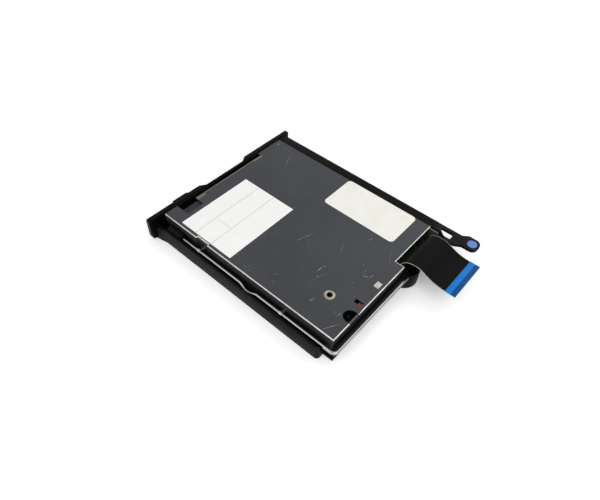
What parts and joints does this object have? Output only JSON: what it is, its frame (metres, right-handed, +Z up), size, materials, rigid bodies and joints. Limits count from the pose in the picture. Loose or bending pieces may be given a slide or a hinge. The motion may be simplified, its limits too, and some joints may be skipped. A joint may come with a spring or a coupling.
{
  "type": "floppy disk drive",
  "caption": "Slim 3.5 inch floppy disk drive in a plastic bay tray, with a steel cover, a retaining wire, a sprung latch arm and a flat cable at the rear.",
  "frame": {"origin": "on the tray's underside, under the middle of the drive", "axes": "+Y from the bezel to the rear, +Z up to the cover, +X to the right as seen from the front"},
  "size_m": [0.1168, 0.1583, 0.0176],
  "materials": {
    "black_plastic": "fine grained",
    "clear_plastic": "smooth",
    "touch_plastic": "smooth",
    "white_plastic": "smooth",
    "cream_plastic": "smooth",
    "cover_steel": "dark satin",
    "frame_steel": "satin",
    "wire_steel": "bright",
    "paper_white": "printed film without print",
    "paper_cream": "printed film without print",
    "cable_film": "smooth",
    "blue_film": "smooth",
    "contact_metal": "tinned",
    "board_green": "lacquered",
    "chip_black": "moulded",
    "part_tan": "moulded",
    "coil_copper": "enamelled",
    "hub_brass": "satin",
    "magnet_dark": "sintered",
    "head_dark": "polished"
  },
  "bodies": {
    "casing": {"tray": "black_plastic", "front_bezel": "black_plastic", "base_frame": "frame_steel", "top_cover": "cover_steel", "rating_label": "paper_white", "caution_label": "paper_cream", "cover_rivet": "wire_steel", "retaining_wire": "wire_steel", "wire_clip": "black_plastic", "retaining_pins": "black_plastic", "flex_cable": "cable_film", "cable_stiffener": "blue_film", "cable_contacts": "contact_metal", "cable_connector": "black_plastic", "eject_springs": "wire_steel", "flap_spring": "wire_steel", "activity_lamp": "clear_plastic", "lamp_lens": "clear_plastic", "motor_board": "board_green", "stator_core": "frame_steel", "stator_coils": "coil_copper", "spindle_bearing": "hub_brass", "stepper_motor": "frame_steel", "stepper_bracket": "frame_steel", "screw_bearing": "frame_steel", "guide_rod": "wire_steel", "rod_clamps": "frame_steel", "main_board": "board_green", "control_chips": "chip_black", "board_parts": "part_tan", "sensor_switches": "chip_black", "board_screws": "frame_steel"},
    "latch": {"latch_arm": "black_plastic", "touch_point": "touch_plastic"},
    "eject": {"eject_button": "black_plastic", "slide_plate": "frame_steel"},
    "holder": {"disk_holder": "frame_steel", "lever_pin": "frame_steel", "lever_spring": "wire_steel"},
    "lever": {"shutter_lever": "frame_steel"},
    "carriage": {"head_carriage": "white_plastic", "lower_head": "head_dark", "screw_follower": "cream_plastic", "arm_pin": "wire_steel", "arm_spring": "wire_steel", "head_flex": "part_tan"},
    "arm": {"head_arm": "frame_steel", "upper_head": "head_dark"},
    "screw": {"lead_screw": "wire_steel"},
    "rotor": {"spindle_shaft": "wire_steel", "spindle_rotor": "frame_steel", "rotor_magnet": "magnet_dark", "spindle_hub": "hub_brass", "chuck_magnet": "magnet_dark"},
    "pin": {"drive_pin": "wire_steel"},
    "flap": {"slot_flap": "black_plastic"},
    "density": {"density_plunger": "white_plastic"},
    "protect": {"protect_plunger": "white_plastic"},
    "disk": {"disk_plunger": "cream_plastic"}
  },
  "joints": [
    {"name": "latch_press", "type": "hinge", "parent": "casing", "child": "latch", "pos_m": [-0.0513, 0.05785, 0.0136], "axis": [1, 0, 0], "range_deg": [-6, 0], "stiffness_Nm_per_rad": 1.5},
    {"name": "eject_slide", "type": "slide", "parent": "casing", "child": "eject", "axis": [0, 1, 0], "range_m": [-0.0055, 0]},
    {"name": "holder_drop", "type": "slide", "parent": "casing", "child": "holder", "axis": [0, 0, 1], "range_m": [-0.0024, 0]},
    {"name": "lever_turn", "type": "hinge", "parent": "holder", "child": "lever", "pos_m": [0.04, 0.03335, 0.0136], "axis": [0, 0, 1], "range_deg": [-62, 0], "stiffness_Nm_per_rad": 0.002},
    {"name": "carriage_travel", "type": "slide", "parent": "casing", "child": "carriage", "axis": [0, 1, 0], "range_m": [-0.0148, 0]},
    {"name": "screw_turn", "type": "hinge", "parent": "casing", "child": "screw", "pos_m": [0.014, 0.02, 0.0054], "axis": [0, 1, 0], "range_deg": [0, 1780]},
    {"name": "arm_lower", "type": "hinge", "parent": "carriage", "child": "arm", "pos_m": [0, 0.04785, 0.0126], "axis": [1, 0, 0], "range_deg": [0, 8.6]},
    {"name": "spindle_spin", "type": "hinge", "parent": "casing", "child": "rotor", "pos_m": [0, -0.01665, 0.005], "axis": [0, 0, 1], "continuous": true},
    {"name": "drive_pin_press", "type": "slide", "parent": "rotor", "child": "pin", "axis": [0, 0, 1], "range_m": [-0.0006, 0], "stiffness_N_per_m": 60},
    {"name": "flap_open", "type": "hinge", "parent": "casing", "child": "flap", "pos_m": [0, -0.0622, 0.01335], "axis": [1, 0, 0], "range_deg": [0, 88], "stiffness_Nm_per_rad": 0.0006},
    {"name": "density_press", "type": "slide", "parent": "casing", "child": "density", "axis": [0, 0, 1], "range_m": [-0.0009, 0], "stiffness_N_per_m": 60},
    {"name": "protect_press", "type": "slide", "parent": "casing", "child": "protect", "axis": [0, 0, 1], "range_m": [-0.0009, 0], "stiffness_N_per_m": 60},
    {"name": "disk_press", "type": "slide", "parent": "casing", "child": "disk", "axis": [0, 0, 1], "range_m": [-0.0009, 0], "stiffness_N_per_m": 60}
  ],
  "couplings": [
    {"joint": "holder_drop", "follows": "eject_slide", "ratio": 0.43636},
    {"joint": "arm_lower", "follows": "eject_slide", "rad_per_m": -26.97},
    {"joint": "screw_turn", "follows": "carriage_travel", "rad_per_m": -2094.4}
  ]
}
